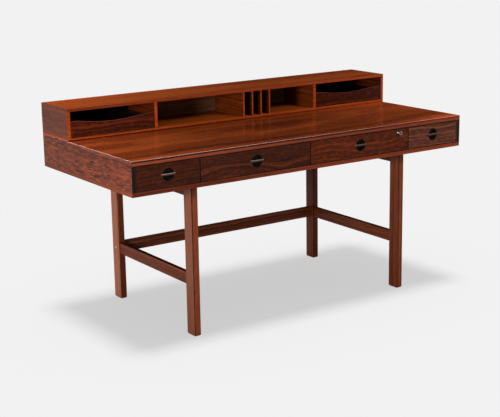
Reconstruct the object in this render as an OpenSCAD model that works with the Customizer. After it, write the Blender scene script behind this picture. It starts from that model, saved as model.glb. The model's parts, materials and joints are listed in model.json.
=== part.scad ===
// Executive desk: a case with four drawers on two leg frames, and a gallery that flips over the rear edge.
// X runs along the width, Y from the front to the back and Z up from the floor.
// The drawings below count Y from the front edge of the case, and place() centres the whole object.

/* [Case] */
// Width of the desk over both ends
case_w = 1640; // [1450:1:1850]
// Depth of the case
case_d = 751; // [720:1:820]
// Height of the desk top above the floor
desk_h = 747; // [700:1:780]
// Height of the case
case_h = 135.5; // [130:0.5:160]
// Thickness of the desk top
top_t = 20; // [17:0.5:22]
// Thickness of the case bottom
bottom_t = 16; // [13:0.5:18]
// Thickness of each case side
side_t = 16; // [12:0.5:22]
// Thickness of a side's veneer where it covers the end of the desk top
lip_t = 1.5; // [0.8:0.1:3]
// Thickness of the case back
back_t = 12; // [8:0.5:18]
// Thickness of the partitions between the drawers
partition_t = 16; // [12:0.5:20]
// Distance of the outer partitions from the ends of the desk
partition_in = 297; // [260:1:340]

/* [Drawers] */
// Thickness of a drawer front
front_t = 18; // [17:0.5:22]
// Distance of the drawer fronts behind the front edge of the case
front_set = 2.5; // [0:0.1:5]
// Gap between the drawer fronts and the desk top
gap_over = 2.5; // [1:0.1:4]
// Gap between the drawer fronts and the case bottom
gap_under = 1.5; // [1:0.1:3]
// Gap between two drawer fronts
gap_between = 1.8; // [1:0.1:3]
// Gap between an outer drawer front and the case side
gap_end = 1; // [0.8:0.1:3]
// Gap between the closed drawer fronts and the partitions
gap_behind = 1; // [0.5:0.1:2]
// Length of the drawer boxes behind their fronts
drawer_l = 640; // [560:1:660]
// Height of the drawer sides
drawer_h = 80; // [74:1:84]
// Thickness of the drawer sides
drawer_t = 12; // [12:0.5:16]
// Thickness of the drawer backs
drawer_back_t = 12; // [8:0.5:16]
// Glue gap at each end of a drawer's back
glue_gap = 0.1; // [0.05:0.05:0.2]
// Thickness of the drawer bottoms
drawer_floor_t = 5; // [3:0.5:8]
// Height of a drawer bottom above the lower edge of the drawer sides
drawer_floor_up = 7; // [4:0.5:12]
// Depth to which a drawer bottom is let into the sides and the front
drawer_let = 4.5; // [3:0.5:5]
// Depth to which the drawer sides are housed in the front
drawer_house = 8; // [5:0.5:10]
// Clearance under the drawer sides
drawer_clear = 5; // [2:0.5:7]
// Clearance beside the drawer sides
drawer_gap = 1.5; // [0.8:0.1:3]

/* [Drawer runners] */
// Width by which a runner stands out from the wall
runner_w = 8; // [6:0.5:8]
// Height of a runner
runner_h = 14; // [10:0.5:18]
// Length of a runner
runner_l = 600; // [450:1:610]
// Height of a runner above the lower edge of the drawer sides
runner_up = 38; // [30:1:44]
// Clearance above and below a runner
runner_gap = 0.3; // [0.2:0.1:0.6]
// Clearance at the inner edge of a runner
runner_tip = 0.5; // [0.3:0.1:1]
// Distance from the back of a drawer front to the closed end of the groove
groove_start = 20; // [10:1:30]
// Distance that the runner keeps from the closed end of the groove
groove_stop = 5; // [2:1:10]

/* [Pulls] */
// Diameter of the round recess
pull_d = 50; // [40:1:56]
// Depth of the round recess
pull_deep = 11; // [8:0.5:13]
// Radius between the wall and the floor of the recess
pull_round = 6; // [3:0.5:8]
// Distance of the pulls under the desk top's surface
pull_down = 67.5; // [60:0.5:74]
// Length of the bar
bar_l = 62; // [58:1:74]
// Height of the bar at its ends
bar_h = 9; // [7:0.5:12]
// Height of the bar at its middle
bar_waist = 7.4; // [5:0.1:8]
// Distance that the bar stands proud of the drawer front
bar_proud = 5; // [3:0.5:8]
// Distance that the front of the bar falls back at its ends
bar_fall = 1.6; // [0.5:0.1:2.5]
// Depth to which the bar is let into the drawer front
bar_let = 5; // [3:0.5:7]

/* [Lock] */
// Distance of the lock from the partition on its right
lock_in = 60; // [50:1:120]
// Distance of the lock under the desk top's surface
lock_down = 38.5; // [36:0.5:44]
// Width of the lock case
lock_w = 50; // [40:1:54]
// Depth of the lock case, let into the back of the front
lock_d = 11; // [10:0.5:12]
// Height of the lock case below its centre
lock_low = 20; // [18:0.5:24]
// Wall of the lock case
lock_wall = 1.5; // [1:0.1:2]
// Radius of the round nose of the lock
nose_r = 7.5; // [6.5:0.1:8.5]
// Radius of the ring round the nose
ring_r = 9.5; // [9:0.1:12]
// Distance that the ring stands proud of the front
ring_proud = 1.2; // [0.6:0.1:2]
// Radius of the turning plug
plug_r = 5; // [4.5:0.1:5.5]
// Thickness of the disc at the back of the plug
plug_disc_t = 2; // [1.5:0.1:2.4]
// Radius of the disc at the back of the plug
plug_disc_r = 8.5; // [8:0.1:9]
// Radius of the crank pin on the disc
crank_r = 1.5; // [1.2:0.1:1.8]
// Travel of the lock bolt
bolt_throw = 8; // [6:0.5:8.5]
// Width of the lock bolt
bolt_w = 24; // [22:0.5:30]
// Thickness of the lock bolt
bolt_t = 3.6; // [3:0.1:4]
// Width of the bolt's metal below its slot
bolt_foot = 3; // [2:0.1:4]
// Running clearance inside the lock
lock_gap = 0.3; // [0.2:0.05:0.4]
// Clearance round the lock bolt in its mortise
mortise_gap = 1; // [0.5:0.1:2]

/* [Key] */
// Distance that the key stands out of the drawer front
key_proud = 29; // [24:0.5:36]
// Radius of the key's shank
key_r = 2; // [1.5:0.1:2.3]
// Depth to which the key enters the plug
key_deep = 10; // [6:0.5:12]
// Outer radius of the ring bow
bow_r = 9.5; // [8:0.1:11]
// Radius of the hole in the bow
bow_hole = 5; // [4:0.1:6]
// Distance by which the collar behind the bow stands out round the shank
collar_out = 1; // [0.5:0.1:1.5]
// Length of the collar
collar_l = 2; // [1:0.5:4]
// Thickness of the bow
bow_t = 2.4; // [2:0.1:3.5]

/* [Gallery] */
// Height of the gallery
gallery_h = 131.5; // [128:0.5:150]
// Depth of the gallery
gallery_d = 236; // [220:1:260]
// Thickness of the gallery bottom
gallery_floor_t = 12; // [12:0.5:14]
// Thickness of the gallery top
gallery_top_t = 12.5; // [10:0.5:14]
// Thickness of the gallery ends
gallery_end_t = 14; // [12:0.5:18]
// Thickness of the gallery back
gallery_back_t = 8; // [5:0.5:12]
// Distance of the thick partitions from the middle
wall_x = 414; // [380:1:450]
// Thickness of the thick partitions
wall_t = 14; // [10:0.5:18]
// Distance of the first letter divider from the middle
divider_x = 27; // [0:1:40]
// Spacing of the letter dividers
divider_step = 45.5; // [36:0.5:56]
// Thickness of a letter divider
divider_t = 7; // [6:0.5:12]
// Number of letter dividers
divider_n = 4; // [2:1:6]

/* [Small drawers] */
// Thickness of a small drawer's front
small_front_t = 14; // [10:0.5:18]
// Distance of the small fronts behind the front of the gallery
small_set = 2.5; // [0:0.1:5]
// Gap on each side of a small front
small_gap = 3; // [1:0.1:4]
// Gap under a small front
small_under = 4; // [1:0.1:6]
// Height of a small drawer's sides above the lower edge of its front
small_side_up = 3; // [2:0.5:4]
// Height of a small front at its ends
small_h = 64; // [60:0.5:72]
// Depth of the dip in the top edge of a small front
dip_h = 14.5; // [8:0.5:16]
// Width of the dip, as a part of the width of the front
dip_part = 0.98; // [0.6:0.01:0.98]
// Part of the half dip that the hollow curve takes
hollow_part = 0.75; // [0.3:0.01:0.8]
// Length of a small drawer's box behind its front
small_l = 192; // [160:1:196]
// Height of a small drawer's sides
small_side_h = 44; // [38:0.5:45]
// Thickness of a small drawer's sides and back
small_t = 9; // [8.5:0.5:12]
// Thickness of a small drawer's bottom
small_floor_t = 4; // [3:0.5:5]
// Height of a small drawer's bottom above the lower edge of its sides
small_floor_up = 4; // [3:0.5:6]
// Depth to which a small bottom is let into the sides and the front
small_let = 3; // [2:0.5:3.5]
// Depth to which the small sides are housed in the front
small_house = 6; // [4:0.5:7]
// Width by which a small runner stands out from the wall
small_runner_w = 6.5; // [5:0.5:7.5]
// Height of a small runner
small_runner_h = 9; // [6:0.5:10]
// Height of a small runner above the lower edge of the sides
small_runner_up = 18; // [15:1:22]
// Length of a small runner
small_runner_l = 170; // [120:1:172]
// Distance from the back of a small front to the closed end of the groove
small_groove_start = 12; // [10:1:16]

/* [Gallery hinges] */
// Number of hinges
hinge_n = 3; // [2:1:4]
// Distance from the middle of an end hinge to the end of the desk
hinge_end = 170; // [80:1:300]
// Length of a hinge
hinge_l = 76; // [60:1:90]
// Width of a hinge leaf from the joint
leaf_w = 11.5; // [11:0.1:12]
// Thickness of a hinge leaf
leaf_t = 1.6; // [1.2:0.1:2]
// Radius of the hinge barrel
barrel_r = 3.5; // [3:0.1:4]
// Number of knuckles of a hinge
knuckle_n = 5; // [3:2:7]
// Radius of the hinge pin
pin_r = 1.5; // [1.2:0.1:1.8]
// Distance of the hinge pin behind the back faces
pin_back = 0.8; // [0.7:0.1:1.2]
// Gap between two knuckles, and round a barrel in its notch
knuckle_gap = 0.3; // [0.2:0.1:0.5]
// Running clearance round a hinge pin
pin_gap = 0.05; // [0.03:0.01:0.1]
// Number of screws in a leaf
screw_n = 4; // [2:1:5]
// Distance from the end of a leaf to its first screw
screw_edge = 9; // [6:0.5:12]
// Length of a hinge screw
screw_l = 18; // [12:1:25]
// Radius of a hinge screw's shank
screw_r = 1.3; // [1:0.1:1.5]
// Radius of a hinge screw's head
screw_head_r = 2.5; // [2.2:0.1:2.6]
// Clearance round a screw
screw_gap = 0.1; // [0.05:0.01:0.2]

/* [Buffers] */
// Radius of a felt buffer on the case back
buffer_r = 7; // [5:0.5:10]
// Distance of the buffers under the desk top's surface
buffer_down = 108; // [40:1:112]
// Gap that the flipped gallery keeps from a buffer
buffer_gap = 0.3; // [0.2:0.1:0.5]

/* [Legs] */
// Width of a leg
leg_w = 30; // [25:0.5:36]
// Depth of a leg
leg_d = 54; // [46:1:70]
// Distance of the legs' outer faces from the ends of the desk
leg_in = 280; // [200:1:330]
// Distance of the front legs behind the front edge of the case
leg_front = 49.5; // [20:0.5:80]
// Distance of the rear legs before the back of the case
leg_rear = 40.5; // [20:0.5:80]
// Chamfer round the foot of a leg
foot_cut = 4; // [1:0.5:8]
// Chamfer along the corners of a leg
leg_cut = 1; // [0.5:0.1:2]

/* [Rails and stretchers] */
// Height of the top rails
rail_h = 50; // [40:1:70]
// Height of the stretchers
bar_rail_h = 48.5; // [40:0.5:70]
// Thickness of rails and stretchers
rail_t = 18; // [16:0.5:18]
// Distance of the side rails and side stretchers behind the outer faces of the legs
rail_in = 6; // [4:0.5:8.5]
// Distance of the back stretcher behind the front faces of the rear legs
back_rail_in = 19; // [18.5:0.5:26]
// Height of the stretchers' lower edges above the floor
stretcher_z = 203.5; // [120:0.5:300]
// Length of a tenon
tenon_l = 22; // [15:1:24]
// Thickness of a tenon
tenon_t = 10; // [6:0.5:12]
// Height that a tenon loses at each edge of its rail
tenon_cut = 6; // [3:0.5:10]
// Clearance round a tenon
tenon_gap = 0.15; // [0.1:0.05:0.3]

/* [Frame fasteners] */
// Radius of a stretcher bolt
bolt_r = 3; // [2.5:0.1:3.5]
// Length of a stretcher bolt under its head
bolt_l = 75; // [60:1:90]
// Radius of a stretcher bolt's head
bolt_head_r = 7; // [6:0.1:8]
// Height of a stretcher bolt's head
bolt_head_h = 2.6; // [2:0.1:4]
// Radius of a barrel nut
nut_r = 5; // [4.5:0.1:6]
// Length of a barrel nut
nut_l = 14; // [12:0.5:15.5]
// Distance from a leg's inner face to the middle of the barrel nut
nut_in = 35; // [28:1:40]
// Clearance round a bolt and a nut
bolt_gap = 0.2; // [0.1:0.05:0.4]
// Number of screws that hold each frame to the case
frame_screw_n = 3; // [2:1:5]
// Radius of those screws
frame_screw_r = 2.5; // [2:0.1:3]
// Radius of their heads
frame_head_r = 5; // [4:0.1:6]
// Length of the screws under the head
frame_screw_l = 32; // [28:1:34]
// Length of the screws in the case bottom
frame_bite = 10; // [6:0.5:12]

/* [Hidden] */
$fn = 64;
over = 1;
half_w = case_w / 2;
inner_x = half_w - side_t;
partition_x = half_w - partition_in;
case_z = desk_h - case_h;
bay_z0 = case_z + bottom_t;
bay_z1 = desk_h - top_t;
split = [-inner_x, -partition_x, 0, partition_x, inner_x];
front_y1 = front_set + front_t;
front_z0 = bay_z0 + gap_under;
front_z1 = bay_z1 - gap_over;
drawer_z0 = bay_z0 + drawer_clear;
drawer_y1 = front_y1 + drawer_l;
floor_z = drawer_z0 + drawer_floor_up;
pull_z = desk_h - pull_down;
groove_h = runner_h + 2 * runner_gap;
groove_d = runner_w + runner_tip - drawer_gap;
runner_z = drawer_z0 + runner_up;
runner_y = front_y1 + groove_start + groove_stop;
lock_n = 2;
lock_x = partition_x - lock_in;
lock_z = desk_h - lock_down;
crank = bolt_throw / (2 * sin(45));
plug_y1 = front_y1 - lock_d + lock_wall + plug_disc_t;
bolt_y = plug_y1 + lock_gap;
key_out = key_proud - front_set;
bow_y = bow_r - key_out;
gallery_y = case_d - gallery_d;
shelf_z = desk_h + gallery_floor_t;
roof_z = desk_h + gallery_h - gallery_top_t;
gallery_back_y = case_d - gallery_back_t;
small_x0 = wall_x + wall_t / 2;
small_x1 = half_w - gallery_end_t;
small_box_x0 = small_x0 + small_gap;
small_box_x1 = small_x1 - small_gap;
small_y0 = gallery_y + small_set;
small_y1 = small_y0 + small_front_t;
small_z0 = shelf_z + small_under;
small_side_z = small_z0 + small_side_up;
small_groove_d = small_runner_w + runner_tip - small_gap;
dip_n = 48;
small_runner_y = small_y1 + small_groove_start + groove_stop;
pin_y = case_d + pin_back;
barrel_out = pin_back + barrel_r;
knuckle_l = hinge_l / knuckle_n;
screw_row = (barrel_r + leaf_w) / 2;
buffer_t = 2 * pin_back - buffer_gap;
leg_x1 = half_w - leg_in;
leg_x0 = leg_x1 - leg_w;
rear_y1 = case_d - leg_rear;
rear_y0 = rear_y1 - leg_d;
leg_front_y1 = leg_front + leg_d;
rail_x1 = leg_x1 - rail_in;
rail_x0 = rail_x1 - rail_t;
stretcher_z1 = stretcher_z + bar_rail_h;
back_rail_y = rear_y0 + back_rail_in;
bolt_z = stretcher_z + bar_rail_h / 2;
bolt_mid_y = back_rail_y + rail_t / 2;
dome_r = (bolt_head_r * bolt_head_r + bolt_head_h * bolt_head_h) / (2 * bolt_head_h);
rail_mid = rail_x0 + rail_t / 2;
frame_screw_z = case_z + frame_bite - frame_screw_l;

// Places and sizes that repeat

function front_l(i) = split[i] + (i == 0 ? gap_end : gap_between / 2);
function front_r(i) = split[i + 1] - (i == 3 ? gap_end : gap_between / 2);
function bay_l(i) = split[i] + (i == 0 ? 0 : partition_t / 2);
function bay_r(i) = split[i + 1] - (i == 3 ? 0 : partition_t / 2);
function box_l(i) = bay_l(i) + drawer_gap;
function box_r(i) = bay_r(i) - drawer_gap;
function pull_x(i) = (front_l(i) + front_r(i)) / 2;
function frame_screw_y(k) = leg_front_y1 + (rear_y0 - leg_front_y1) * (2 * k + 1) / (2 * frame_screw_n);
function hinge_x(k) = (half_w - hinge_end) * (2 * k / (hinge_n - 1) - 1);
function screw_x(k) = (hinge_l / 2 - screw_edge) * (2 * k / (screw_n - 1) - 1);

// Moves a drawing that starts at the front edge of the case to the centre of the whole object
module place() {
    translate([0, (key_out - case_d - barrel_out) / 2, 0]) children();
}

// Box between two values on each axis
module block(x0, x1, y0, y1, z0, z1) {
    translate([x0, y0, z0]) cube([x1 - x0, y1 - y0, z1 - z0]);
}

// Mirror image for side -1, as drawn for side 1
module flip(side) {
    mirror([side < 0 ? 1 : 0, 0, 0]) children();
}

// Cylinder along X, Y or Z that starts at a point
module rod_x(x, y, z, r, l) {
    translate([x, y, z]) rotate([0, 90, 0]) cylinder(r = r, h = l);
}

module rod_y(x, y, z, r, l) {
    translate([x, y, z]) rotate([-90, 0, 0]) cylinder(r = r, h = l);
}

module rod_z(x, y, z, r, l) {
    translate([x, y, z]) cylinder(r = r, h = l);
}

// Case

module bolt_mortise() {
    block(lock_x - bolt_w / 2 - mortise_gap, lock_x + bolt_w / 2 + mortise_gap,
        bolt_y - mortise_gap, bolt_y + bolt_t + mortise_gap,
        bay_z1 - over, front_z1 + bolt_throw + mortise_gap);
}

// Pocket of a hinge's barrel and leaf: side -1 is the case, side 1 the gallery
module hinge_pocket(x, side) {
    z = side < 0 ? desk_h - leaf_w : desk_h - over;
    rod_x(x - hinge_l / 2 - knuckle_gap, pin_y, desk_h, barrel_r + knuckle_gap, hinge_l + 2 * knuckle_gap);
    block(x - hinge_l / 2, x + hinge_l / 2, case_d - leaf_t, case_d + over, z, z + leaf_w + over);
}

// Clear holes of a leaf's screws
module screw_holes(x, side) {
    for (k = [0 : screw_n - 1])
        rod_y(x + screw_x(k), case_d - screw_l - screw_gap, desk_h + side * screw_row,
            screw_r + screw_gap, screw_l + screw_gap + over);
}

module case_top() {
    color("#8a4626") difference() {
        block(lip_t - half_w, half_w - lip_t, 0, case_d, bay_z1, desk_h);
        bolt_mortise();
        for (k = [0 : hinge_n - 1]) {
            hinge_pocket(hinge_x(k), -1);
            screw_holes(hinge_x(k), -1);
        }
    }
}

module case_bottom() {
    color("#9a4a2a") difference() {
        block(-half_w, half_w, 0, case_d, case_z, bay_z0);
        for (side = [-1, 1])
            frame_screw_holes(side);
    }
}

// Side with a thin veneer lip that covers the end of the desk top
module case_side(side) {
    color("#7a3b28") flip(side) {
        block(inner_x, half_w, 0, case_d, bay_z0, bay_z1);
        block(half_w - lip_t, half_w, 0, case_d, bay_z1, desk_h);
    }
}

module case_back() {
    color("#6a3322")
    block(-inner_x, inner_x, case_d - back_t, case_d, bay_z0, bay_z1);
}

module partitions() {
    color("#5a2c1e") for (i = [1 : 3])
        block(split[i] - partition_t / 2, split[i] + partition_t / 2,
            front_y1 + gap_behind, case_d - back_t, bay_z0, bay_z1);
}

module drawer_runners() {
    color("#c8a878") for (i = [0 : 3]) {
        block(bay_l(i), bay_l(i) + runner_w, runner_y, runner_y + runner_l, runner_z, runner_z + runner_h);
        block(bay_r(i) - runner_w, bay_r(i), runner_y, runner_y + runner_l, runner_z, runner_z + runner_h);
    }
}

module back_buffers() {
    color("#3a2a20") for (x = [-half_w / 2, 0, half_w / 2])
        rod_y(x, case_d, desk_h - buffer_down, buffer_r, buffer_t);
}

// Hinges

// One leaf with its knuckles: side -1 is on the case, side 1 on the gallery
module hinge_leaf(x, side) {
    first = side < 0 ? 0 : 1;
    difference() {
        union() {
            block(x - hinge_l / 2, x + hinge_l / 2, case_d - leaf_t, case_d,
                side < 0 ? desk_h - leaf_w : desk_h, side < 0 ? desk_h : desk_h + leaf_w);
            for (k = [first : 2 : knuckle_n - 1])
                rod_x(x - hinge_l / 2 + k * knuckle_l + (k == 0 ? 0 : knuckle_gap / 2),
                    pin_y, desk_h, barrel_r,
                    knuckle_l - (k == 0 || k == knuckle_n - 1 ? knuckle_gap / 2 : knuckle_gap));
        }
        for (k = [1 - first : 2 : knuckle_n - 1])
            rod_x(x - hinge_l / 2 + k * knuckle_l - knuckle_gap / 2, pin_y, desk_h, barrel_r + knuckle_gap,
                knuckle_l + knuckle_gap);
        rod_x(x - hinge_l / 2 - over, pin_y, desk_h, pin_r + pin_gap, hinge_l + 2 * over);
        for (k = [0 : screw_n - 1]) {
            rod_y(x + screw_x(k), case_d - leaf_t - over, desk_h + side * screw_row, screw_r + screw_gap,
                leaf_t + 2 * over);
            translate([x + screw_x(k), case_d - leaf_t, desk_h + side * screw_row]) rotate([-90, 0, 0])
                cylinder(r1 = screw_r + screw_gap, r2 = screw_head_r + screw_gap, h = leaf_t + screw_gap);
        }
    }
}

module hinge_leaves_case() {
    color("#b08d4c") for (k = [0 : hinge_n - 1])
        hinge_leaf(hinge_x(k), -1);
}

module hinge_leaves_gallery() {
    color("#b08d4c") for (k = [0 : hinge_n - 1])
        hinge_leaf(hinge_x(k), 1);
}

module hinge_pins() {
    color("#c9a55c") for (k = [0 : hinge_n - 1])
        rod_x(hinge_x(k) - hinge_l / 2, pin_y, desk_h, pin_r, hinge_l);
}

// Countersunk screws of the leaves on one side
module hinge_screws(side) {
    color("#c9a55c") for (k = [0 : hinge_n - 1], j = [0 : screw_n - 1])
        translate([hinge_x(k) + screw_x(j), case_d, desk_h + side * screw_row]) rotate([90, 0, 0]) {
            cylinder(r = screw_r, h = screw_l);
            cylinder(r1 = screw_head_r, r2 = screw_r, h = leaf_t);
        }
}

// Leg frames

// Leg in plan and from two sides, so that its corners and foot are chamfered
module leg(x0, y0) {
    translate([x0, y0, 0]) intersection() {
        linear_extrude(case_z) polygon([
            [leg_cut, 0], [leg_w - leg_cut, 0], [leg_w, leg_cut], [leg_w, leg_d - leg_cut],
            [leg_w - leg_cut, leg_d], [leg_cut, leg_d], [0, leg_d - leg_cut], [0, leg_cut]
        ]);
        foot_shape(leg_w, leg_d);
        translate([leg_w, 0, 0]) rotate([0, 0, 90]) foot_shape(leg_d, leg_w);
    }
}

// Upright block of width w and depth d whose lower edges are cut along d
module foot_shape(w, d) {
    translate([0, d + over, 0]) rotate([90, 0, 0]) linear_extrude(d + 2 * over) polygon([
        [foot_cut, 0], [w - foot_cut, 0], [w, foot_cut], [w, case_z], [0, case_z], [0, foot_cut]
    ]);
}

// Tenon, or its mortise when gap is over 0, from y0 to y1
module tenon(y0, y1, z0, z1, gap) {
    block(rail_mid - tenon_t / 2 - gap, rail_mid + tenon_t / 2 + gap, y0, y1,
        z0 + tenon_cut - gap, z1 - tenon_cut + gap);
}

module front_leg(side) {
    color("#8b5036") flip(side) difference() {
        leg(leg_x0, leg_front);
        for (z = [[case_z - rail_h, case_z], [stretcher_z, stretcher_z1]])
            tenon(leg_front_y1 - tenon_l - tenon_gap, leg_front_y1 + over, z[0], z[1], tenon_gap);
    }
}

module rear_leg(side) {
    color("#8b5036") flip(side) difference() {
        leg(leg_x0, rear_y0);
        for (z = [[case_z - rail_h, case_z], [stretcher_z, stretcher_z1]])
            tenon(rear_y0 - over, rear_y0 + tenon_l + tenon_gap, z[0], z[1], tenon_gap);
        rod_x(leg_x0 - over, bolt_mid_y, bolt_z, bolt_r + bolt_gap, leg_w + 2 * over);
    }
}

// Rail between a front and a rear leg with a tenon at each end
module side_rail(z0, z1) {
    block(rail_x0, rail_x1, leg_front_y1, rear_y0, z0, z1);
    tenon(leg_front_y1 - tenon_l, rear_y0 + tenon_l, z0, z1, 0);
}

module frame_screw_holes(side) {
    for (k = [0 : frame_screw_n - 1]) {
        rod_z(side * rail_mid, frame_screw_y(k), case_z - rail_h - over,
            frame_head_r + bolt_gap, frame_screw_z - case_z + rail_h + over);
        rod_z(side * rail_mid, frame_screw_y(k), frame_screw_z - over, frame_screw_r + bolt_gap,
            frame_screw_l + over + bolt_gap);
    }
}

module frame_screws() {
    color("#8f8f8f") for (side = [-1, 1], k = [0 : frame_screw_n - 1]) {
        rod_z(side * rail_mid, frame_screw_y(k), frame_screw_z, frame_screw_r, frame_screw_l);
        rod_z(side * rail_mid, frame_screw_y(k), frame_screw_z - frame_screw_r, frame_head_r, frame_screw_r);
    }
}

module top_rail(side) {
    color("#5e3222") difference() {
        flip(side) side_rail(case_z - rail_h, case_z);
        frame_screw_holes(side);
    }
}

module side_stretcher(side) {
    color("#73462f") flip(side) side_rail(stretcher_z, stretcher_z1);
}

module back_stretcher() {
    color("#5a2f20") difference() {
        block(-leg_x0, leg_x0, back_rail_y, back_rail_y + rail_t, stretcher_z, stretcher_z1);
        for (side = [-1, 1]) flip(side) {
            rod_x(leg_x1 - bolt_l - bolt_gap, bolt_mid_y, bolt_z, bolt_r + bolt_gap, bolt_l);
            rod_y(leg_x0 - nut_in, back_rail_y - over, bolt_z, nut_r + bolt_gap, (rail_t + nut_l) / 2 + over);
        }
    }
}

// Bolt through a rear leg: a domed head on the leg's outer face
module stretcher_bolts() {
    color("#c9a55c") for (side = [-1, 1]) flip(side) {
        rod_x(leg_x1 - bolt_l, bolt_mid_y, bolt_z, bolt_r, bolt_l);
        translate([leg_x1, bolt_mid_y, bolt_z]) rotate([0, 90, 0]) rotate_extrude() intersection() {
            translate([0, bolt_head_h - dome_r]) circle(r = dome_r);
            square([bolt_head_r, bolt_head_h]);
        }
    }
}

module barrel_nuts() {
    color("#b08d4c") for (side = [-1, 1]) flip(side) difference() {
        rod_y(leg_x0 - nut_in, bolt_mid_y - nut_l / 2, bolt_z, nut_r, nut_l);
        rod_x(leg_x0 - nut_in - nut_r - over, bolt_mid_y, bolt_z, bolt_r + bolt_gap, 2 * nut_r + 2 * over);
    }
}

// Drawers

// Round recess with a rounded floor, centred at x
module pull_recess(x) {
    translate([x, front_set, pull_z]) rotate([-90, 0, 0]) {
        translate([0, 0, -over]) cylinder(r = pull_d / 2, h = pull_deep - pull_round + over);
        translate([0, 0, -over]) cylinder(r = pull_d / 2 - pull_round, h = pull_deep + over);
        translate([0, 0, pull_deep - pull_round]) rotate_extrude()
            translate([pull_d / 2 - pull_round, 0]) circle(r = pull_round);
    }
}

// Front view of the bar, with its hollow upper and lower edges
module bar_face() {
    sag = (bar_h - bar_waist) / 2;
    hollow_r = (bar_l * bar_l / 4 + sag * sag) / (2 * sag);
    difference() {
        square([bar_l, bar_h], center = true);
        for (side = [-1, 1])
            translate([0, side * (hollow_r + bar_waist / 2)]) circle(r = hollow_r, $fn = 360);
    }
}

// Plan of the bar, with its bowed front towards the viewer
module bar_plan() {
    bow = (bar_l * bar_l / 4 + bar_fall * bar_fall) / (2 * bar_fall);
    intersection() {
        translate([-bar_l / 2, -bar_proud]) square([bar_l, bar_proud + bar_let]);
        translate([0, bow - bar_proud]) circle(r = bow, $fn = 360);
    }
}

module pull_bar(i) {
    color("#7c4636") translate([pull_x(i), front_set, pull_z]) intersection() {
        translate([0, bar_let, 0]) rotate([90, 0, 0]) linear_extrude(bar_let + bar_proud + over) bar_face();
        translate([0, 0, -bar_h]) linear_extrude(2 * bar_h) bar_plan();
    }
}

// Notches for the ends of the bar
module bar_notch(i) {
    block(pull_x(i) - bar_l / 2, pull_x(i) + bar_l / 2, front_set - over, front_set + bar_let,
        pull_z - bar_h / 2, pull_z + bar_h / 2);
}

// Two drawer sides from x0 to x1, with a runner groove outside and a groove for the bottom inside
module box_sides(x0, x1, y0, y1, z0, h, t, floor_z, floor_t, deep, run_y, run_z, run_h, run_d) {
    for (end = [0, 1]) {
        a = end == 0 ? x0 : x1 - t;
        difference() {
            block(a, a + t, y0, y1, z0, z0 + h);
            block(end == 0 ? x0 - over : x1 - run_d, end == 0 ? x0 + run_d : x1 + over,
                run_y, y1 + over, run_z, run_z + run_h);
            block(end == 0 ? x0 + t - deep : x1 - t - over, end == 0 ? x0 + t + over : x1 - t + deep,
                y0 - over, y1 + over, floor_z, floor_z + floor_t);
        }
    }
}

module drawer_box(i) {
    color("#c39a6b") {
        box_sides(box_l(i), box_r(i), front_y1 - drawer_house, drawer_y1, drawer_z0, drawer_h, drawer_t,
            floor_z, drawer_floor_t, drawer_let, front_y1 + groove_start,
            runner_z - runner_gap, groove_h, groove_d);
        block(box_l(i) + drawer_t + glue_gap, box_r(i) - drawer_t - glue_gap,
            drawer_y1 - drawer_back_t, drawer_y1, floor_z + drawer_floor_t, drawer_z0 + drawer_h);
    }
}

module drawer_bottom(i) {
    color("#cfae80")
    block(box_l(i) + drawer_t - drawer_let, box_r(i) - drawer_t + drawer_let,
        front_y1 - drawer_let, drawer_y1, floor_z, floor_z + drawer_floor_t);
}

module drawer_front(i) {
    color("#5c2a1c") difference() {
        block(front_l(i), front_r(i), front_set, front_y1, front_z0, front_z1);
        pull_recess(pull_x(i));
        bar_notch(i);
        block(box_l(i), box_l(i) + drawer_t, front_y1 - drawer_house, front_y1 + over,
            drawer_z0, drawer_z0 + drawer_h);
        block(box_r(i) - drawer_t, box_r(i), front_y1 - drawer_house, front_y1 + over,
            drawer_z0, drawer_z0 + drawer_h);
        block(box_l(i) + drawer_t - drawer_let, box_r(i) - drawer_t + drawer_let,
            front_y1 - drawer_let, front_y1 + over, floor_z, floor_z + drawer_floor_t);
        if (i == lock_n) lock_pocket();
    }
}

// Lock and key

module lock_pocket() {
    block(lock_x - lock_w / 2, lock_x + lock_w / 2, front_y1 - lock_d, front_y1 + over,
        lock_z - lock_low, front_z1 + over);
    rod_y(lock_x, front_set - over, lock_z, nose_r + screw_gap, front_t);
}

module lock_case() {
    color("#4a443e") difference() {
        union() {
            block(lock_x - lock_w / 2, lock_x + lock_w / 2, front_y1 - lock_d, front_y1,
                lock_z - lock_low, front_z1);
            rod_y(lock_x, front_set, lock_z, nose_r, front_t - lock_d + lock_wall);
            rod_y(lock_x, front_set - ring_proud, lock_z, ring_r, ring_proud);
        }
        block(lock_x - lock_w / 2 + lock_wall, lock_x + lock_w / 2 - lock_wall,
            front_y1 - lock_d + lock_wall, front_y1 - lock_wall,
            lock_z - lock_low + lock_wall, front_z1 - lock_wall);
        block(lock_x - bolt_w / 2 - lock_gap, lock_x + bolt_w / 2 + lock_gap,
            bolt_y - lock_gap, bolt_y + bolt_t + lock_gap, lock_z, front_z1 + over);
        rod_y(lock_x, front_set - ring_proud - over, lock_z, plug_r + pin_gap, front_t);
    }
}

// Bolt with a level slot in which the crank pin runs
module lock_bolt() {
    color("#a9a9a4") difference() {
        block(lock_x - bolt_w / 2, lock_x + bolt_w / 2, bolt_y, bolt_y + bolt_t,
            lock_z - bolt_throw / 2 - crank_r - bolt_foot, front_z1 - lock_gap);
        block(lock_x + crank * cos(45) - crank_r - lock_gap, lock_x + crank + crank_r + lock_gap,
            bolt_y - over, bolt_y + bolt_t + over,
            lock_z - bolt_throw / 2 - crank_r - lock_gap, lock_z - bolt_throw / 2 + crank_r + lock_gap);
    }
}

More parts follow.
